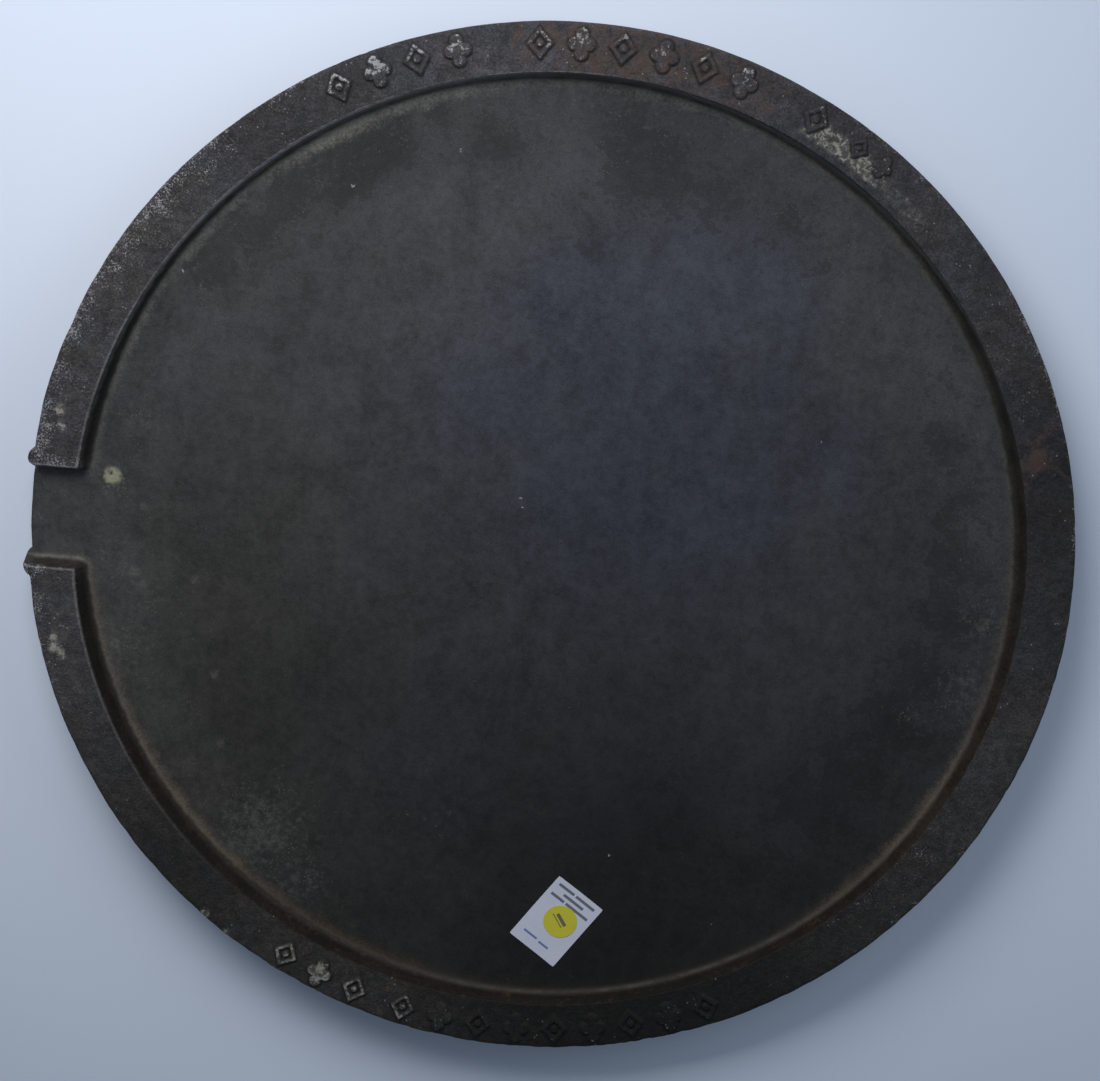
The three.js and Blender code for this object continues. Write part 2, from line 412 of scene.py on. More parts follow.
def underside(skin, last):
    """The seat, the skirt, the web of ribs and hub, and the pockets between them."""
    a = np.radians(np.arange(360))
    depth = SEAT
    profile = [(RADIUS - 6, depth), (262, depth), (259.8, depth), (258.3, depth - 0.6),
               (257.3, depth - 1.7), (SKIRT_OUTER - 0.1, depth - 3.4), (255.8, 1.4),
               (255.4, 0.5), (254.6, 0.05), (253.6, 0), (252.4, 0)]
    for radius, z in profile:
        ring = np.stack([radius * np.cos(a), radius * np.sin(a), 0 * a + z], axis=1)
        last = skin.bridge(last, skin.ring(ring))
    web = [last]
    shape = pocket_outline()
    forward = np.roll(shape, -1, axis=0) - np.roll(shape, 1, axis=0)
    forward /= np.linalg.norm(forward, axis=1)[:, None]
    inward = np.stack([-forward[:, 1], forward[:, 0]], axis=1)
    steps = [(-1.7, 0), (-0.9, 0), (-0.3, 0.25), (0, 0.9), (0.6, 6.5), (1.2, depth - 3.2),
             (1.7, depth - 1.7), (2.4, depth - 0.7), (3.3, depth - 0.15), (4.1, depth)]
    for k in range(RIB_COUNT):
        turn = math.radians((k + 0.5) * 360 / RIB_COUNT)
        spin = np.array([[math.cos(turn), math.sin(turn)], [-math.sin(turn), math.cos(turn)]])
        loops = [np.c_[(shape + inward * out) @ spin, np.full(len(shape), z)] for out, z in steps]
        centre = loops[-1].mean(axis=0)
        loops += [centre + (loops[-1] - centre) * share for share in (0.7, 0.4)]
        ring = skin.ring(loops[0])
        web.append(ring)
        for loop in loops[1:]:
            ring = skin.bridge(ring, skin.ring(loop))
        skin.fan(ring, centre)

    # The web's flat face. Each pocket's sides are bowed out a little while it is divided, so
    # that the corners of every triangle can be put in the same order. Where the edges of two
    # opposite ribs lie on one line, some triangles still have their points in a row.
    loops = [np.array([skin.points[n][:2] for n in ring]) for ring in web]
    for k, loop in enumerate(loops[1:], 1):
        away = loop - loop.mean(axis=0)
        loops[k] = loop - POCKET_BOW * np.linalg.norm(away, axis=1)[:, None] * away
    numbers, spots = [n for ring in web for n in ring], np.vstack(loops)
    for triangle in geometry.tessellate_polygon([[Vector((*p, 0)) for p in loop] for loop in loops]):
        p = [Vector(spots[i]) for i in triangle]
        faces_up = (p[1] - p[0]).cross(p[2] - p[0]) > 0
        order = triangle[::-1] if faces_up else triangle
        skin.faces.append(tuple(numbers[i] for i in order))


# Where the iron's colour changes. Each list goes round the cover in (angle, value) pairs.
# The first is how light the rim is: its own patchy tone, with painted light and shade, lighter at the
# upper left and darkest towards the bottom.
RIM_TONE_AND_SHADE = ((0, 0.56), (15, 0.38), (30, 0.83), (45, 0.77), (75, 0.9), (105, 1.1), (120, 0.7),
             (150, 1.0), (165, 0.9), (195, 0.98), (210, 0.72), (225, 0.38), (240, 0.64),
             (255, 0.54), (270, 0.21), (285, 0.14), (300, 0.25), (315, 0.5), (330, 0.83), (345, 0.78))
# How light the floor is beside the wall, next to how it is further in.
FLOOR_EDGE = ((0, 1.27), (28, 1.33), (45, 1.1), (60, 0.87), (82, 0.66), (100, 0.9), (120, 0.68),
              (135, 0.97), (165, 0.92), (195, 1.4), (220, 1.5), (240, 1.0), (265, 0.72), (282, 0.55),
              (300, 0.78), (320, 0.72), (340, 0.88))
# The pale residue at the wall's foot: how far past the foot it starts, and its tone.
RESIDUE_STARTS = ((0, -5.4), (30, -4.6), (60, -3.6), (75, -4.4), (90, -4.2), (105, -5.4), (120, -7.6),
                  (135, -4.8), (165, -4.6), (195, -5.4), (225, -7.4), (240, -7.2), (255, -8.2),
                  (270, -4.6), (300, -3.2), (315, -6.0), (345, -5.2))
RESIDUE_TONE = ((0, 0.084), (30, 0.068), (60, 0.09), (75, 0.108), (90, 0.114), (105, 0.165), (120, 0.152),
                (135, 0.145), (150, 0.13), (165, 0.095), (225, 0.088), (240, 0.048), (255, 0.034),
                (270, 0.019), (285, 0.0135), (300, 0.0185), (315, 0.044), (330, 0.078), (345, 0.076))
# The dark band up the wall, dirt with painted shade, darkest towards the bottom: where it starts and
# ends, and its tone.
DIRT_AND_SHADE_STARTS = ((0, -2.0), (15, -2.4), (30, -2.2), (45, -1.4), (75, -0.3), (120, -0.1), (150, -0.5),
               (165, -1.1), (195, -1.6), (240, -1.9), (255, -1.0), (270, 0.4), (300, 0.8), (315, 0.3),
               (345, -0.8))
DIRT_AND_SHADE_ENDS = ((0, 3.9), (30, 3.8), (45, 1.5), (60, 1.0), (90, 1.3), (135, 1.6), (150, 2.3), (165, 2.8),
             (195, 5.0), (240, 4.5), (270, 3.9), (315, 3.8), (330, 3.9))
DIRT_AND_SHADE_TONE = ((0, 0.0175), (15, 0.016), (45, 0.030), (60, 0.038), (90, 0.045), (105, 0.060), (120, 0.050),
             (135, 0.034), (150, 0.025), (165, 0.015), (195, 0.010), (255, 0.008), (285, 0.0055),
             (315, 0.0095), (330, 0.017))
# The painted highlight along the rim's inner top edge, strongest at the upper left: how far past the
# foot, and how strong.
EDGE_HIGHLIGHT_PLACE = ((60, 2.6), (75, 2.8), (90, 3.7), (105, 3.3), (140, 3.3), (150, 3.6), (165, 4.7), (195, 5.3),
              (330, 4.9))
EDGE_HIGHLIGHT_STRENGTH = ((0, 0), (60, 0.1), (90, 0.34), (105, 0.6), (116, 1.0), (140, 1.0), (150, 0.4),
                 (165, 0.14), (188, 0.22), (215, 0.08), (232, 0))
# How brightly the tops of the marks are worn, with painted glints, strongest at the upper left.
MARK_WEAR_AND_GLINTS = ((46, 0.5), (60, 0.6), (72, 0.9), (77, 0.6), (86, 0.75), (95, 1.0), (104, 0.9),
              (118, 1.15), (240, 0.55), (251, 0.7), (262, 0.45), (280, 0.35), (294, 0.5))
# Dark blotches on the floor: x, y, radius and how dark.
BLOTCHES = ((-104, 217, 24, 1.0), (-124, 202, 26, 1.0), (-150, 190, 20, 0.8), (-175, 168, 22, 0.9),
            (-194, 148, 20, 0.9), (-228, 112, 14, 0.6), (-77, 229, 12, 0.6), (-44, 221, 20, 0.8),
            (28, 222, 30, 1.0), (44, 212, 26, 0.9), (2, 192, 14, 0.6), (16, 169, 14, 0.6),
            (34, 203, 20, 1.0), (71, 199, 26, 0.7), (110, 184, 22, 0.6), (126, 172, 20, 0.6),
            (171, 167, 18, 0.6), (204, 133, 20, 0.6), (198, 108, 22, 0.5), (83, -146, 40, 0.5),
            (18, -208, 40, 0.4))
# The dark crescent along the right of the floor, in the same four numbers.
CRESCENT = ((211, 78, 17, 0.8), (223, 46, 22, 0.75), (224, 14, 24, 0.85), (221, -20, 24, 0.85),
            (211, -50, 26, 0.85), (196, -80, 28, 0.9), (180, -104, 30, 0.9), (160, -131, 32, 0.9),
            (128, -165, 30, 0.6))
# Patches of pale specks: x, y, radius and how thick.
SPECKLED = ((-238, -23, 22, 0.8), (-221, -40, 26, 0.7), (-232, -72, 24, 0.9), (-150, -172, 34, 1.2),
            (-128, -200, 24, 0.9), (-195, 130, 20, 0.7), (-216, 84, 26, 0.6), (-228, 56, 18, 0.8),
            (240, -18, 16, 1.0), (236, -58, 22, 1.0), (209, -76, 16, 0.8), (-45, -154, 20, 0.5),
            (-232, 4, 16, 0.6), (236, 40, 20, 0.6))
# Tiny pale chips in the floor: the place and radius of each.
FLOOR_CHIPS = (((-17, 29), 0.4), ((-15.6, 24), 0.3), ((-118, 191), 0.4), ((143, 73), 0.3),
               ((108, -205), 0.4), ((47, -170), 0.3), ((-206, 139), 0.4), ((-62, 214), 0.4))
# Faint pale spots on the floor: the place and radius of each.
PALE_SPOTS = (((-226.4, -29), 1.5), ((-221.4, -35.6), 1.3), ((-222.6, 8), 1.1), ((-193, -30.4), 1.2),
              ((-236, -71), 1.5), ((-180, -84), 1.0), ((-175, -123.7), 1.2))
# Crumbs of chalk and lime on the rim: x, y and radius.
CRUMBS = ((-268.6, 59.6, 4.2), (-267.2, 50.5, 3.2), (-177.2, -221.0, 3.6), (-165.0, -231.5, 3.4),
          (198.5, -92.8, 0.9), (165.5, -217.0, 1.1), (-276.5, -46.0, 2.6), (-268.0, -66.0, 3.0),
          (-267.5, -73.0, 4.6), (-263.0, -77.5, 3.4), (-262.0, 98.0, 1.6))


def around(angle, pairs):
    """The value of a list of (angle, value) pairs at each angle."""
    at, values = zip(*pairs)
    return np.interp(angle, at, values, period=360)


def blobs(x, y, places):
    """The strongest of some round patches, each of an x, a y, a radius and a strength."""
    most = np.zeros_like(x)
    for cx, cy, radius, strength in places:
        most = np.maximum(most, strength * np.exp(-((x - cx) ** 2 + (y - cy) ** 2) / radius**2))
    return most


def paint(skin):
    """What the iron's material reads at each point: where edges, hollows, stains, painted shade and
    painted highlights lie.
    """
    x, y, z = np.array(skin.points).T
    radius, angle = np.hypot(x, y), np.degrees(np.arctan2(y, x)) % 360
    flat = np.stack([x, y, 0 * x], axis=1)
    sway_x = x + 9 * cloud(flat, 30, 3, 4.1)
    sway_y = y + 9 * cloud(flat, 30, 3, 8.9)
    upper = smooth(FLOOR - 5, FLOOR - 1, z)
    past, off_mark = beyond_wall(x, y), from_marks(x, y)
    on_rim = smooth(2.6, 4.0, past)
    raised = 1 - smooth(-0.6, 0.4, off_mark)

    # The wall's residue, its dirt and painted shade, and the painted highlight on its edge. The notch's
    # two walls have values of their own.
    in_notch = smooth(WALL_FOOT - 2, WALL_FOOT + 4, radius) * (1 - smooth(30, 36, np.abs(y))) * (x < 0)

    def by_wall(pairs, upper_wall, lower_wall):
        return around(angle, pairs) * (1 - in_notch) + in_notch * np.where(y > 0, upper_wall, lower_wall)

    # The rim's wear with painted glints on its edges, rust and chalk.
    outer = bump_of(RADIUS - 0.8 - radius, 2.6) * smooth(TOP - 7, TOP - 1.5, z)
    shoulder = smooth(268, 284, radius)
    rim_end = (1 - smooth(NOTCH_FOOT + 3.5, NOTCH_FOOT + 14, np.abs(y))) * (x < 0) * on_rim
    # Specks of wear and painted glints, most on the edges at the upper left.
    wear_and_glint_specks = 0.75 * arc(angle, 155, 14, 14) * shoulder + 0.4 * arc(angle, 148, 26, 16)
    wear_and_glint_specks += 0.8 * rim_end + 0.6 * arc(angle, 191, 7, 6) * shoulder
    wear_and_glint_specks += outer * (0.3 + 0.35 * arc(angle, 32, 30, 14) + 0.3 * arc(angle, 150, 26, 10))
    wear_and_glint_specks += 0.45 * arc(angle, 27, 5, 4) + 0.4 * arc(angle, 321, 9, 6)
    wear_and_glint_specks += 1.3 * blob(x, y, (-266, -72), 8) + 0.9 * blob(x, y, (-276, -48), 9)
    wear_and_glint_specks = np.minimum(wear_and_glint_specks, 1.15)
    mark_wear_and_glints = raised * around(angle, MARK_WEAR_AND_GLINTS) * (0.55 + 0.45 * smooth(-5, 5, radius - MARK_RING))
    rusty = 0.8 * arc(angle, 83, 11, 8) + 0.45 * arc(angle, 152, 10, 9) * shoulder
    rusty += (0.35 * arc(angle, 24, 12, 9) + 0.9 * blob(x, y, (259, 76), 15)
              + 0.5 * blob(x, y, (-262, 62), 14))
    rusty += 0.4 * arc(angle, 244, 10, 6) + 0.25 * arc(angle, 338, 14, 12)
    chalky = arc(angle, 59, 4.6, 2.2) * smooth(260.5, 264.5, radius) * (1 - smooth(272, 281, radius))
    chalky += (0.8 * arc(angle, 49.5, 2.5, 2.5) * smooth(260.5, 264, radius)
               * (1 - smooth(270, 275, radius)))
    chalky *= 1 - 0.8 * raised
    chalky += arc(angle, 248, 9, 5) * (0.25 + 0.75 * raised) * smooth(264, 268, radius)
    for cx, cy, size in CRUMBS:
        chalky = np.maximum(chalky, 1.2 * (1 - smooth(0.3 * size, 1.7 * size, np.hypot(x - cx, y - cy))))

    # The floor's large clouds, its own tone, with painted light and shade: light at the top and dark
    # along the bottom.
    # Painted shade: the floor darkens steadily from the top to the bottom.
    floor_tone_and_shade = 0.0228 + 0.0218 * smooth(-250, 230, sway_y)
    floor_tone_and_shade -= 0.0112 * blob(sway_x, sway_y, (45, -175), 165) + 0.003 * blob(sway_x, sway_y, (65, -40), 110)
    floor_tone_and_shade += 0.005 * blob(sway_x, sway_y, (-25, 165), 120) + 0.004 * blob(sway_x, sway_y, (90, 150), 80)
    floor_tone_and_shade += 0.0045 * blob(sway_x, sway_y, (-225, 78), 60) - 0.003 * blob(sway_x, sway_y, (-170, 0), 70)
    floor_tone_and_shade += 0.004 * blob(sway_x, sway_y, (-100, 85), 70) - 0.0045 * blob(sway_x, sway_y, (-70, -75), 60)
    floor_tone_and_shade += 0.0028 * cloud(flat, 90, 3, 1.7)
    floor_tone_and_shade *= 1 + smooth(200, 240, radius) * (around(angle, FLOOR_EDGE) - 1)
    blue = 1.05 * blob(sway_x, sway_y, (42, 92), 200) + 0.25 * blob(sway_x, sway_y, (60, -20), 240)
    warm = 0.8 * blob(sway_x, sway_y, (-170, -60), 170)
    warm += 0.8 * smooth(150, 240, radius) * arc(angle, 262, 38, 25)
    return {
        "upper": upper,
        "rim": on_rim * upper,
        "off_mark": np.clip(off_mark, -3, 4),
        "outer": outer,
        "wear_and_glint_specks": wear_and_glint_specks * upper,
        "mark_wear_and_glints": mark_wear_and_glints,
        "rusty": rusty * upper,
        "chalky": chalky * upper,
        "rim_tone_and_shade": around(angle, RIM_TONE_AND_SHADE),
        "residue_in": np.clip(past - by_wall(RESIDUE_STARTS, -2.6, -4.2), -9, 9),
        "residue_tone": by_wall(RESIDUE_TONE, 0.11, 0.095),
        "dirt_and_shade_in": np.clip(past - by_wall(DIRT_AND_SHADE_STARTS, 0.6, -0.6), -9, 9),
        "dirt_and_shade_out": np.clip(by_wall(DIRT_AND_SHADE_ENDS, 2.4, 3.9) - past, -9, 9),
        "dirt_and_shade_tone": by_wall(DIRT_AND_SHADE_TONE, 0.032, 0.019),
        "off_edge_highlight": np.clip(past - by_wall(EDGE_HIGHLIGHT_PLACE, 4.6, 4.6), -9, 9),
        "edge_highlight": by_wall(EDGE_HIGHLIGHT_STRENGTH, 0.36, 0.22),
        "brown": arc(angle, 275, 40, 70),
        "floor_tone_and_shade": floor_tone_and_shade,
        "blue": np.clip(blue + 0.15 * cloud(flat, 60, 2, 2.9), 0, 1),
        "warm": np.clip(warm + 0.3 * cloud(flat, 45, 2, 7.7), 0, 1),
        "blotch": np.maximum(blobs(sway_x, sway_y, BLOTCHES), blobs(x, y, CRESCENT)),
        "specks": np.maximum(blobs(x, y, SPECKLED), 0.4 * smooth(165, 235, radius) * (angle < 230)),
    }


# Materials.


class Material:
    """A node material. Its calls add a node and return the socket that holds the result."""

    def __init__(self, name):
        self.material = bpy.data.materials.new(name)
        self.material.use_nodes = True
        self.tree = self.material.node_tree
        self.tree.nodes.clear()
        self.shader = self.tree.nodes.new("ShaderNodeBsdfPrincipled")
        output = self.tree.nodes.new("ShaderNodeOutputMaterial")
        self.tree.links.new(self.shader.outputs["BSDF"], output.inputs["Surface"])
        self.place = self.add("ShaderNodeTexCoord", {}, {}).outputs["Object"]

    def put(self, socket, value):
        """Links a socket, or sets it to a number or a colour."""
        if isinstance(value, bpy.types.NodeSocket):
            self.tree.links.new(value, socket)
        elif socket.type == "RGBA" and len(value) == 3:
            socket.default_value = (*value, 1)
        else:
            socket.default_value = value

    def add(self, kind, settings, inputs):
        node = self.tree.nodes.new(kind)
        for key, value in settings.items():
            setattr(node, key, value)
        for key, value in inputs.items():
            self.put(node.inputs[key], value)
        return node

    def finish(self, **inputs):
        """Sets the shader's own sockets; an underscore stands for a space."""
        for key, value in inputs.items():
            self.put(self.shader.inputs[key.replace("_", " ")], value)
        return self.material

    def field(self, name, output="Fac"):
        return self.add("ShaderNodeAttribute", {"attribute_name": name}, {}).outputs[output]

    def sum(self, a, b, how="ADD"):
        settings = {"operation": how}
        return self.add("ShaderNodeMath", settings, {0: a, 1: b}).outputs[0]

    def times(self, a, b):
        return self.sum(a, b, "MULTIPLY")

    def most(self, a, b):
        return self.sum(a, b, "MAXIMUM")

    def less(self, a, b):
        return self.sum(a, b, "SUBTRACT")

    def scaled(self, value, low, high, to_low=0.0, to_high=1.0):
        """The value mapped smoothly from low..high to to_low..to_high."""
        settings = {"interpolation_type": "SMOOTHSTEP"}
        inputs = {"Value": value, "From Min": low, "From Max": high}
        inputs |= {"To Min": to_low, "To Max": to_high}
        return self.add("ShaderNodeMapRange", settings, inputs).outputs["Result"]

    def mix(self, share, a, b, how="MIX"):
        """Colour a turning to colour b as the share goes from 0 to 1."""
        settings = {"data_type": "RGBA", "blend_type": how, "clamp_factor": True}
        return self.add("ShaderNodeMix", settings, {0: share, 6: a, 7: b}).outputs[2]

    def blend(self, share, a, b):
        """Number a turning to number b as the share goes from 0 to 1."""
        return self.add("ShaderNodeMix", {}, {0: share, 2: a, 3: b}).outputs[0]

    def scale_colour(self, colour, by):
        settings = {"operation": "SCALE"}
        return self.add("ShaderNodeVectorMath", settings, {0: colour, "Scale": by}).outputs[0]

    def grain(self, size, detail=2.0, roughness=0.5, distortion=0.0, at=None):
        """Noise from 0 to 1 with blobs of a size in millimetres."""
        inputs = {"Vector": at or self.place, "Scale": 1 / (size * MM), "Detail": detail}
        inputs |= {"Roughness": roughness, "Distortion": distortion}
        return self.add("ShaderNodeTexNoise", {}, inputs).outputs[0]

    def cells(self, size, feature="F1", output="Distance", randomness=1.0):
        inputs = {"Vector": self.place, "Scale": 1 / (size * MM), "Randomness": randomness}
        return self.add("ShaderNodeTexVoronoi", {"feature": feature}, inputs).outputs[output]

    def shifted(self, size, by):
        """The place, pushed about by noise of a size, both in millimetres."""
        inputs = {"Vector": self.place, "Scale": 1 / (size * MM), "Detail": 2.0}
        push = self.add("ShaderNodeTexNoise", {}, inputs).outputs["Color"]
        middle = self.add("ShaderNodeVectorMath", {"operation": "SUBTRACT"}, {0: push, 1: (0.5,) * 3})
        push = self.scale_colour(middle.outputs[0], by * MM)
        return self.add("ShaderNodeVectorMath", {"operation": "ADD"},
                        {0: self.place, 1: push}).outputs[0]

    def stretched(self, across, along):
        """The place with X and Y scaled, which draws a noise out along the smaller one."""
        scale = (across, along, 1)
        return self.add("ShaderNodeMapping", {}, {"Vector": self.place, "Scale": scale}).outputs[0]

    def spot(self, at, centre, radius, soft):
        """1 within a radius of a place, in millimetres, and 0 past soft more."""
        level = (centre[0] * MM, centre[1] * MM, FLOOR * MM)
        away = self.add("ShaderNodeVectorMath", {"operation": "DISTANCE"}, {0: at, 1: level})
        return self.scaled(away.outputs["Value"], radius * MM, (radius + soft) * MM, 1.0, 0.0)

    def bump(self, height, depth, normal=None, strength=1.0):
        """A normal bumped by a height that goes from 0 to 1 over a depth in millimetres."""
        inputs = {"Strength": strength, "Distance": depth * MM, "Height": height}
        if normal is not None:
            inputs["Normal"] = normal
        return self.add("ShaderNodeBump", {}, inputs).outputs["Normal"]


def iron_floor(m):
    """The colour of the smooth dished floor: clouds, dark blotches, pale specks and residue, with painted
    shade dark along the bottom.
    """
    specked = m.field("specks")
    middle, small, fine = m.grain(13, 4, 0.6, 0.4), m.grain(3.4, 4, 0.62), m.grain(0.8, 2, 0.65)
    level = m.sum(m.scaled(m.grain(46, 4, 0.55, 0.6), 0.25, 0.75, -0.15, 0.15), 1.0)
    level = m.sum(level, m.scaled(middle, 0.25, 0.75, -0.17, 0.17))
    level = m.sum(level, m.scaled(small, 0.25, 0.75, -0.2, 0.2))
    level = m.sum(level, m.scaled(fine, 0.25, 0.75, -0.24, 0.24))
    level = m.sum(level, m.scaled(m.grain(10, 3, 0.6, at=m.stretched(1, 0.2)), 0.3, 0.7, -0.06, 0.06))
    blotch = m.sum(m.field("blotch"), m.scaled(middle, 0.25, 0.75, -0.36, 0.36))
    blotch = m.sum(blotch, m.scaled(small, 0.25, 0.75, -0.28, 0.28))
    level = m.times(level, m.scaled(blotch, 0.43, 0.68, 1.0, 0.58))
    tint = m.mix(m.field("blue"), (0.93, 0.955, 1.03), (0.79, 0.905, 1.27))
    tint = m.mix(m.field("warm"), tint, (1.02, 0.985, 0.92))
    # The floor's tone carries painted shade, dark along the bottom.
    floor = m.scale_colour(tint, m.times(level, m.field("floor_tone_and_shade")))

    sown = m.scaled(m.sum(m.grain(9, 2, 0.6), m.times(specked, 0.3)), 0.6, 0.9)
    dots = m.scaled(m.cells(1.9), 0.1, 0.34, 1.0, 0.0)
    floor = m.mix(m.times(m.times(dots, sown), 0.65), floor, (0.12, 0.12, 0.11))
    haze = m.sum(m.grain(4.2, 5, 0.75), m.times(specked, 0.24))
    floor = m.mix(m.scaled(haze, 0.64, 0.92, 0.0, 0.6), floor, (0.088, 0.09, 0.088))

    crumbs = m.grain(1.3, 3, 0.7)
    ragged = m.sum(m.field("residue_in"), m.scaled(m.grain(8, 3, 0.6), 0.2, 0.8, -2.0, 2.0))
    ragged = m.sum(ragged, m.scaled(crumbs, 0.3, 0.7, -1.0, 1.0))
    band = m.times(m.scaled(ragged, -2.6, 4.4), m.scaled(m.grain(12, 3, 0.6), 0.25, 0.7, 0.6, 1.0))
    residue = m.mix(m.field("brown"), (1.03, 1.01, 0.94), (1.24, 1.0, 0.74))
    speckled = m.scaled(crumbs, 0.3, 0.7, 0.75, 1.25)
    speckled = m.times(speckled, m.scaled(m.field("residue_in"), 0.0, 6.0, 0.8, 1.05))
    residue = m.scale_colour(residue, m.times(speckled, m.field("residue_tone")))
    floor = m.mix(band, floor, residue)

    # A round lime stain by the notch, faint pale spots and a few tiny chips.
    at = m.shifted(3, 4.5)
    stain = m.less(m.spot(at, (-240.6, 24.0), 3.0, 3.2), m.spot(at, (-241.6, 25.4), 0.4, 2.0))
    stain = m.times(stain, m.scaled(crumbs, 0.3, 0.55, 0.55, 1.0))
    splash = m.times(m.spot(at, (-239.5, 21.0), 3, 9), m.scaled(crumbs, 0.5, 0.75, 0.0, 0.6))
    floor = m.mix(m.times(m.most(stain, splash), 0.9), floor, (0.28, 0.28, 0.2))
    for centre, radius in PALE_SPOTS:
        spot = m.times(m.spot(at, centre, radius, 2.6), m.scaled(crumbs, 0.35, 0.7, 0.1, 0.55))
        floor = m.mix(spot, floor, (0.12, 0.12, 0.11))
    for centre, radius in FLOOR_CHIPS:
        floor = m.mix(m.spot(at, centre, radius, 0.5), floor, (0.24, 0.24, 0.24))
    return floor


def iron_rim(m):
    """The colour of the rough rim: dark scale, rust, chalk, painted shade towards the bottom, and a dark
    ring of dirt and painted shade round the foot of each mark.
    """
    off_mark = m.field("off_mark")
    level = m.scaled(m.grain(5.5, 4, 0.65, 0.3), 0.25, 0.75, 0.64, 1.36)
    level = m.times(level, m.scaled(m.grain(24, 3, 0.6), 0.3, 0.7, 0.80, 1.20))
    level = m.times(level, m.scaled(m.grain(1.1, 3, 0.75), 0.3, 0.7, 0.52, 1.50))
    # Painted light and shade: the rim is lighter at the upper left and darker towards the bottom.
    level = m.times(level, m.field("rim_tone_and_shade"))
    tint = m.mix(m.scaled(m.grain(26, 2, 0.5), 0.4, 0.65),
                 (0.0452, 0.042, 0.0465), (0.042, 0.0425, 0.0505))
    olive = m.scaled(m.grain(17, 3, 0.6, 0.5), 0.5, 0.68, 0.0, 0.6)
    tint = m.mix(m.most(olive, m.times(m.field("brown"), 0.6)), tint, (0.046, 0.0440, 0.0395))
    skin = m.scale_colour(tint, level)
    rust = m.sum(m.times(m.field("rusty"), 0.3), m.grain(7, 5, 0.72, 0.4))
    rust_tone = m.mix(m.grain(2.4, 3, 0.6), (0.066, 0.040, 0.036), (0.098, 0.064, 0.050))
    skin = m.mix(m.scaled(rust, 0.63, 0.86, 0.0, 0.6), skin, rust_tone)
    chalk = m.sum(m.times(m.field("chalky"), 0.5), m.grain(3.2, 5, 0.75, 0.5))
    skin = m.mix(m.scaled(chalk, 0.78, 1.02, 0.0, 0.3), skin, (0.17, 0.165, 0.15))
    skin = m.mix(m.scaled(chalk, 0.98, 1.08, 0.0, 0.9), skin, (0.28, 0.27, 0.24))
    # A dark ring at the foot of each mark: dirt and painted shade.
    around_mark = m.times(m.scaled(off_mark, -0.35, 0.35), m.scaled(off_mark, 0.5, 1.6, 1.0, 0.0))
    dirt_and_shade = m.times(around_mark, m.scaled(m.grain(2.6, 2, 0.6), 0.3, 0.6, 0.25, 0.8))
    return m.mix(dirt_and_shade, skin, (0.012, 0.011, 0.011))


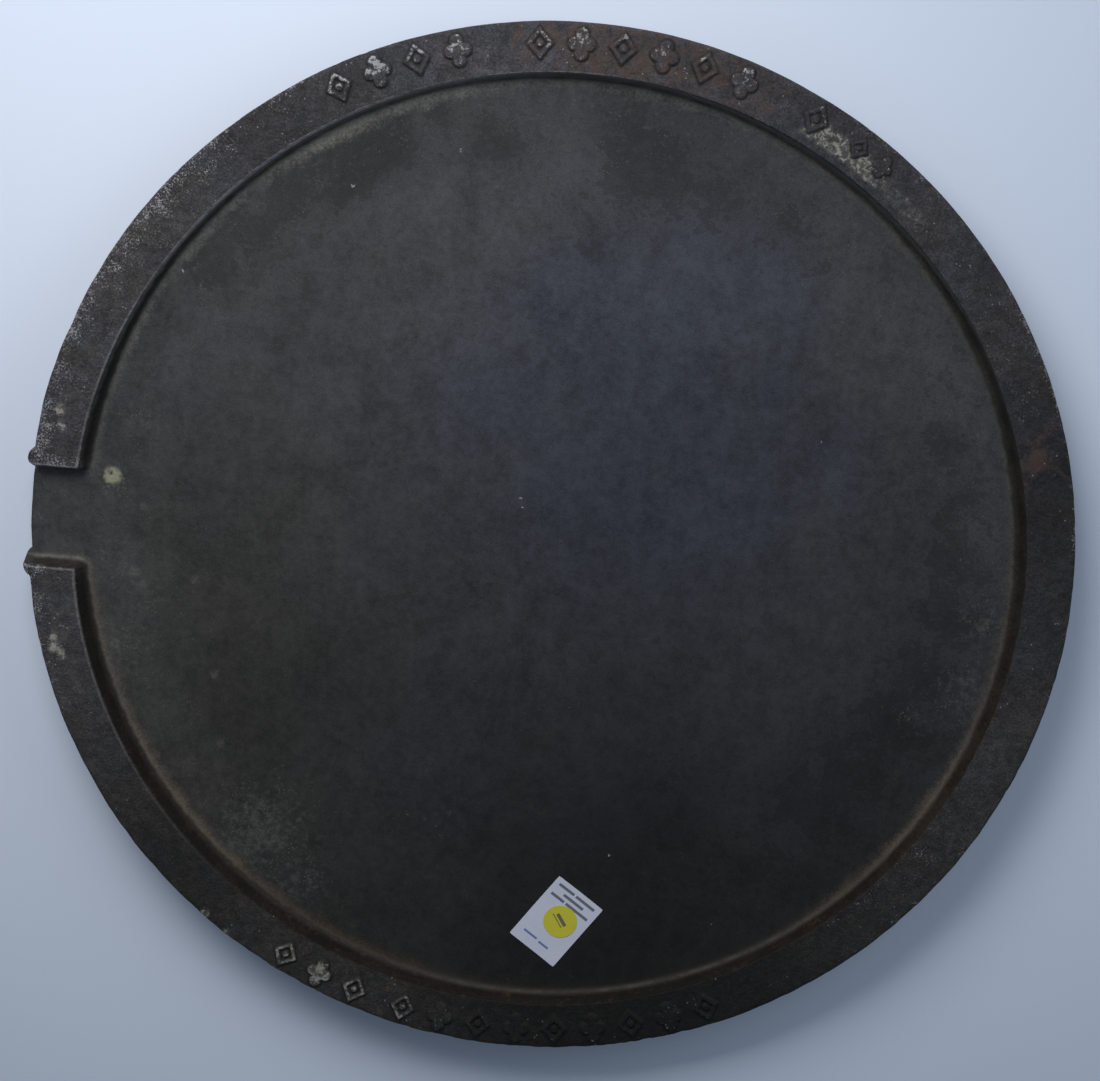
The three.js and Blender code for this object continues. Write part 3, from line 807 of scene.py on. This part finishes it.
def iron_material():
    """Old cast iron: a smooth mottled floor, and a rough brown rim with rust and bare wear, carrying
    painted shade towards the bottom and painted highlights and glints at the upper left.
    """
    m = Material("old_cast_iron")
    rim, under = m.field("rim"), m.less(1.0, m.field("upper"))
    rough_skin = m.most(rim, under)
    colour = m.mix(rim, iron_floor(m), iron_rim(m))

    # The dirt and painted shade up the rim's wall, and the thin painted highlight along its top edge.
    wavy = m.scaled(m.grain(6, 3, 0.6), 0.2, 0.8, -0.6, 0.6)
    wall = m.times(m.scaled(m.sum(m.field("dirt_and_shade_in"), wavy), -1.3, 1.2),
                   m.scaled(m.sum(m.field("dirt_and_shade_out"), wavy), -0.6, 0.7))
    # The band's colour: dirt with painted shade, darkest towards the bottom.
    dirt_and_shade = m.mix(m.field("brown"), (1.1, 1.0, 0.9), (1.34, 0.98, 0.70))
    patchy = m.times(m.scaled(m.grain(1.5, 3, 0.7), 0.3, 0.7, 0.65, 1.35),
                     m.scaled(m.grain(14, 3, 0.6), 0.3, 0.7, 0.75, 1.3))
    dirt_and_shade = m.scale_colour(dirt_and_shade, m.times(m.field("dirt_and_shade_tone"), patchy))
    rusted = m.times(m.scaled(m.grain(6, 4, 0.65), 0.54, 0.72, 0.0, 0.55), m.field("brown"))
    dirt_and_shade = m.mix(rusted, dirt_and_shade, (0.050, 0.029, 0.016))
    colour = m.mix(wall, colour, dirt_and_shade)
    # Painted highlight along the rim's inner top edge.
    off_edge_highlight = m.sum(m.field("off_edge_highlight"), 0.0, "ABSOLUTE")
    edge_highlight = m.times(m.scaled(off_edge_highlight, 0.2, 1.05, 1.0, 0.0), m.field("edge_highlight"))
    edge_highlight = m.times(edge_highlight, m.scaled(m.grain(3, 4, 0.7), 0.3, 0.6, 0.35, 1.0))
    colour = m.mix(edge_highlight, colour, (0.42, 0.41, 0.43))

    # The hidden side: dark old dirt, with rust in patches.
    brown = m.mix(m.grain(3, 3, 0.6), (0.050, 0.024, 0.015), (0.095, 0.047, 0.028))
    hidden = m.mix(m.scaled(m.grain(16, 5, 0.7), 0.4, 0.62), (0.030, 0.026, 0.025), brown)
    colour = m.mix(under, colour, hidden)

    # Bare metal and painted glints: flecks on worn edges and patches on the tops of the marks, brightest
    # at the upper left.
    flecks = m.sum(m.grain(1.1, 4, 0.8), m.times(m.grain(7, 3, 0.6), 0.5))
    flecks = m.scaled(m.sum(flecks, m.times(m.field("wear_and_glint_specks"), 0.18)), 0.96, 1.08)
    chips = m.times(m.scaled(m.cells(3.2), 0.07, 0.16, 1.0, 0.0),
                    m.scaled(m.grain(11, 2, 0.5), 0.56, 0.62))
    flecks = m.most(flecks, m.times(chips, 0.8))
    # Painted glints with wear on the tops of the marks, strongest at the upper left.
    patches = m.sum(m.grain(2.6, 4, 0.72), m.times(m.field("mark_wear_and_glints"), 0.26))
    patches = m.times(m.scaled(patches, 0.72, 0.82), m.scaled(m.field("off_mark"), 0.0, 0.4, 1.0, 0.0))
    bare_and_glints = m.most(flecks, patches)
    bare_and_glints = m.times(bare_and_glints, m.most(rim, m.times(m.field("outer"), 0.8)))
    colour = m.mix(m.times(bare_and_glints, 0.9), colour, (0.34, 0.34, 0.35))

    soft = m.grain(9, 3, 0.6)
    roughness = m.blend(rough_skin, m.scaled(soft, 0.3, 0.7, 0.50, 0.66), 0.78)
    roughness = m.blend(bare_and_glints, roughness, 0.45)
    gritty = m.sum(m.times(m.grain(2.6, 5, 0.7), 0.9), m.times(m.scaled(m.cells(4.6), 0.0, 0.34), 0.25))
    gritty = m.sum(gritty, m.times(m.grain(9, 2, 0.5), 0.8))
    normal = m.bump(m.times(gritty, rough_skin), 0.8)
    normal = m.bump(m.sum(m.grain(0.9, 3, 0.65), m.grain(3.6, 3, 0.6)), 0.06, normal)
    return m.finish(Base_Color=colour, Roughness=roughness, Metallic=m.times(bare_and_glints, 0.4),
                    Specular_IOR_Level=0.3, Normal=normal)


def paper_grain(m, colour, deep):
    """A paper's colour, with its fibres and a little grime, and its normal."""
    fibres = m.grain(0.7, 3, 0.7)
    shade = m.mix(m.scaled(fibres, 0.3, 0.7, 0.0, 0.25), colour, deep)
    grime = m.scaled(m.grain(7, 4, 0.65), 0.55, 0.8, 0.0, 0.35)
    return m.mix(grime, shade, deep), m.bump(fibres, 0.03)


def ruled(m, colour, rules):
    """A paper's colour with plain rules printed on it, at places on the sheet."""
    across, along = m.add("ShaderNodeSeparateXYZ", {}, {0: m.field("sheet", "Vector")}).outputs[:2]
    for middle, level, half, thick, ink in rules:
        off = m.sum(m.less(across, middle), 0.0, "ABSOLUTE")
        beside = m.scaled(off, half - 0.15, half + 0.15, 1.0, 0.0)
        off = m.sum(m.less(along, level), 0.0, "ABSOLUTE")
        on = m.scaled(off, thick / 2 - 0.12, thick / 2 + 0.12, 1.0, 0.0)
        colour = m.mix(m.times(m.times(beside, on), 0.85), colour, ink)
    return colour


def label_material():
    """White label paper, its colour darkened to a blue-grey by painted shade, with plain printed rules
    and two short pen rules.
    """
    m = Material("label_paper")
    # Painted shade: the white paper is given a darker blue-grey colour.
    colour, normal = paper_grain(m, (0.60, 0.63, 0.76), (0.44, 0.46, 0.54))
    return m.finish(Base_Color=ruled(m, colour, LABEL_RULES), Roughness=0.78,
                    Specular_IOR_Level=0.3, Normal=normal)


def dot_material():
    """The matte yellow paper of a colour-coding dot, with two plain rules."""
    m = Material("dot_paper")
    colour, normal = paper_grain(m, (0.60, 0.56, 0.045), (0.44, 0.40, 0.03))
    return m.finish(Base_Color=ruled(m, colour, DOT_RULES), Roughness=0.7,
                    Specular_IOR_Level=0.3, Normal=normal)


def floor_material():
    """The pale studio floor."""
    m = Material("studio_floor")
    colour = m.mix(m.grain(400, 2, 0.5), (0.66, 0.74, 0.89), (0.70, 0.78, 0.93))
    return m.finish(Base_Color=colour, Roughness=0.9, Specular_IOR_Level=0.2)


# The label and its dot.

LABEL_SIZE = (31.75, 44.45)
LABEL_TURN = -35.2
PAPER = 0.14
GLUE = 0.04
LABEL_SLACK = 0.06  # how far the label's flat part stands off its glue
DOT_GLUE = 0.03
DOT_RADIUS = 9.525
DOT_AT = (1.8, 1.4)
INK = (0.07, 0.07, 0.09)
PEN = (0.06, 0.12, 0.34)
# Each rule's middle across and along the label, half its length, its thickness and colour.
LABEL_RULES = (
    (-7.4, 18.6, 5.4, 1.7, INK),
    (5.8, 18.6, 6.6, 1.7, INK),
    (0.2, 15.0, 7.0, 1.7, INK),
    (-8.4, 11.6, 4.6, 1.7, INK),
    (5.2, 11.6, 7.8, 1.7, INK),
    (-6.4, -15.2, 4.6, 1.3, PEN),
    (3.4, -15.8, 3.4, 1.3, PEN),
)
# The dot's rules run askew from the label's, and are measured from the dot's middle.
DOT_TURN = -22
DOT_RULES = ((-0.5, 1.0, 4.2, 2.0, INK), (-1.3, -1.3, 4.7, 0.6, INK))


def label_lift(across, along):
    """How far the label has come up from the floor, which is most at two of its corners."""
    far = np.hypot(across / LABEL_SIZE[0] + 0.5, along / LABEL_SIZE[1] - 0.5)
    near = np.hypot(across / LABEL_SIZE[0] - 0.5, along / LABEL_SIZE[1] + 0.5)
    curl = 0.55 * (1 - smooth(0, 0.42, far)) + 0.35 * (1 - smooth(0, 0.3, near))
    ripple = 0.05 * np.sin(across / 5.1 + 1) * np.cos(along / 6.3)
    return GLUE + LABEL_SLACK + curl + ripple


def on_label(across, along, height):
    """A place on the label as a point of the cover, at a height above the floor."""
    turn = math.radians(LABEL_TURN)
    middle = (label_low + label_high) / 2
    x = middle.x + across * math.cos(turn) - along * math.sin(turn)
    y = middle.y + across * math.sin(turn) + along * math.cos(turn)
    return np.stack([x, y, FLOOR + height], axis=1)


def sheet_skin(loops, lift):
    """A thin closed sheet from loops that grow outwards: its underside, its edge and its face."""
    skin, places = Skin(), []

    def lay(loop, extra):
        places.append(loop)
        return skin.ring(on_label(*loop.T, lift(*loop.T) + extra))

    centre = loops[0].mean(axis=0)[None]
    last = [lay(loop, PAPER) for loop in loops]
    tip = lay(centre, PAPER)[0]
    n = len(last[0])
    skin.faces += [(tip, last[0][i], last[0][(i + 1) % n]) for i in range(n)]
    for inner, outer in zip(last, last[1:]):
        skin.bridge(inner, outer)
    below = [lay(loop, 0.0) for loop in loops[::-1]]
    skin.bridge(last[-1], below[0])
    for outer, inner in zip(below, below[1:]):
        skin.bridge(outer, inner)
    tip = lay(centre, 0.0)[0]
    skin.faces += [(below[-1][i], tip, below[-1][(i + 1) % n]) for i in range(n)]
    return skin, np.vstack(places)


def make_label():
    """The label's sheet."""
    half = np.array(LABEL_SIZE) / 2
    corner = 0.7
    steps = (22, 30, 22, 30)
    corners = np.array([(1, -1), (1, 1), (-1, 1), (-1, -1)]) * half
    loop = []
    for start, end, count in zip(np.roll(corners, 1, axis=0), corners, steps):
        share = np.arange(count)[:, None] / count
        loop.append(start + (end - start) * share)
    loop = np.vstack(loop)
    pull = np.maximum(0, np.abs(loop) - (half - corner))
    over = np.minimum(pull[:, 0], pull[:, 1])[:, None]
    loop = loop - np.sign(loop) * over * 0.2
    loops = [loop * share for share in (0.12, 0.28, 0.44, 0.58, 0.7, 0.8, 0.88, 0.94, 0.98, 0.995, 1.0)]
    skin, places = sheet_skin(loops, label_lift)
    sheet = np.c_[places, np.zeros(len(places))]
    return skin.piece("label_sheet", label_material(), sheet=sheet)


def make_dot():
    """The dot's sheet, lying on the label."""
    a = np.radians(np.arange(0, 360, 5))
    shares = (0.3, 0.6, 0.85, 0.96, 0.99, 1.0)
    loops = [np.c_[np.cos(a), np.sin(a)] * DOT_RADIUS * share for share in shares]

    def lift(across, along):
        high = label_lift(across + DOT_AT[0], along + DOT_AT[1])
        lifted = 0.1 * smooth(0.6, 1.0, (across - along) / DOT_RADIUS / 1.4)
        return high + PAPER + DOT_GLUE + lifted

    moved = [loop + np.array(DOT_AT) for loop in loops]
    skin, places = sheet_skin(moved, lambda across, along: lift(across - DOT_AT[0], along - DOT_AT[1]))
    turn = math.radians(DOT_TURN)
    spin = np.array([[math.cos(turn), -math.sin(turn)], [math.sin(turn), math.cos(turn)]])
    sheet = np.c_[(places - np.array(DOT_AT)) @ spin, np.zeros(len(places))]
    return skin.piece("dot_sheet", dot_material(), sheet=sheet)


def make_casting():
    """The iron casting."""
    skin, columns = Skin(), column_angles()
    edge = floor_rings(skin)
    edge = rim_rings(skin, edge, columns)
    underside(skin, edge)
    return skin.piece("iron_cover", iron_material(), **paint(skin))


casting = make_casting()
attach(casting, "root")
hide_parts("cover_casting")

label = make_label()
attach(label, "root")
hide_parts("lot_label")

dot = make_dot()
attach(dot, "root")
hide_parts("lot_dot")


# The studio.

STAGE_HALF = 3.0
stage_mesh = bpy.data.meshes.new("studio_floor")
corners = [(-STAGE_HALF, -STAGE_HALF, 0), (STAGE_HALF, -STAGE_HALF, 0),
           (STAGE_HALF, STAGE_HALF, 0), (-STAGE_HALF, STAGE_HALF, 0)]
stage_mesh.from_pydata(corners, [], [(0, 1, 2, 3)])
stage_mesh.materials.append(floor_material())
stage = bpy.data.objects.new("studio_floor", stage_mesh)
bpy.context.scene.collection.objects.link(stage)


def softbox(name, place, target, size, power, colour, spread=180):
    """A soft square light at a place, in metres, aimed at a target, its beam so many degrees."""
    data = bpy.data.lights.new(name, "AREA")
    data.shape = "SQUARE"
    data.size = size
    data.energy = power
    data.color = colour
    data.spread = math.radians(spread)
    light = bpy.data.objects.new(name, data)
    light.location = place
    aim = Vector(target) - Vector(place)
    light.rotation_euler = aim.to_track_quat("-Z", "Y").to_euler()
    bpy.context.scene.collection.objects.link(light)


softbox("key_light", (-0.38, 0.80, 0.80), (-0.18, 0.26, 0), 0.7, 3.3, (1.0, 0.98, 0.95), 90)
softbox("fill_light", (0.85, 0.50, 0.75), (0.2, 0.05, 0), 0.8, 2.8, (0.85, 0.93, 1.0))

world = bpy.data.worlds.new("studio_air")
world.use_nodes = True
air = world.node_tree.nodes["Background"]
air.inputs["Color"].default_value = (0.72, 0.84, 1.0, 1)
air.inputs["Strength"].default_value = 0.17
bpy.context.scene.world = world

# The camera looks down on the tread side from high over its +Y edge. Its place is given
# by how the cover lies in front of it: pushed away, tilted, swung and turned.
CAMERA_AWAY = 4.754  # in cover radii
CAMERA_ASIDE = (-0.0064, -0.0315)  # in cover radii, and the angles below in degrees
CAMERA_TILT = 12.12
CAMERA_SWING = -2.35
CAMERA_TURN = -4.2
FOCAL_RATIO = 25 / 11  # the lens's focal length over the width of its picture
SENSOR = 36.0

camera_data = bpy.data.cameras.new("camera")
camera_data.sensor_width = SENSOR
camera_data.lens = SENSOR * FOCAL_RATIO
camera_data.clip_start = 0.01
camera_data.clip_end = 20
camera = bpy.data.objects.new("camera", camera_data)
radius = RADIUS * MM
into_camera = (
    Matrix.Translation((CAMERA_ASIDE[0] * radius, CAMERA_ASIDE[1] * radius, -CAMERA_AWAY * radius))
    @ Matrix.Rotation(math.radians(CAMERA_TILT), 4, "X")
    @ Matrix.Rotation(math.radians(CAMERA_SWING), 4, "Y")
    @ Matrix.Rotation(math.radians(CAMERA_TURN), 4, "Z")
    @ Matrix.Translation((0, 0, -TOP * MM))
)
camera.matrix_world = into_camera.inverted()
bpy.context.scene.collection.objects.link(camera)
bpy.context.scene.camera = camera
bpy.context.scene.view_settings.view_transform = "Standard"
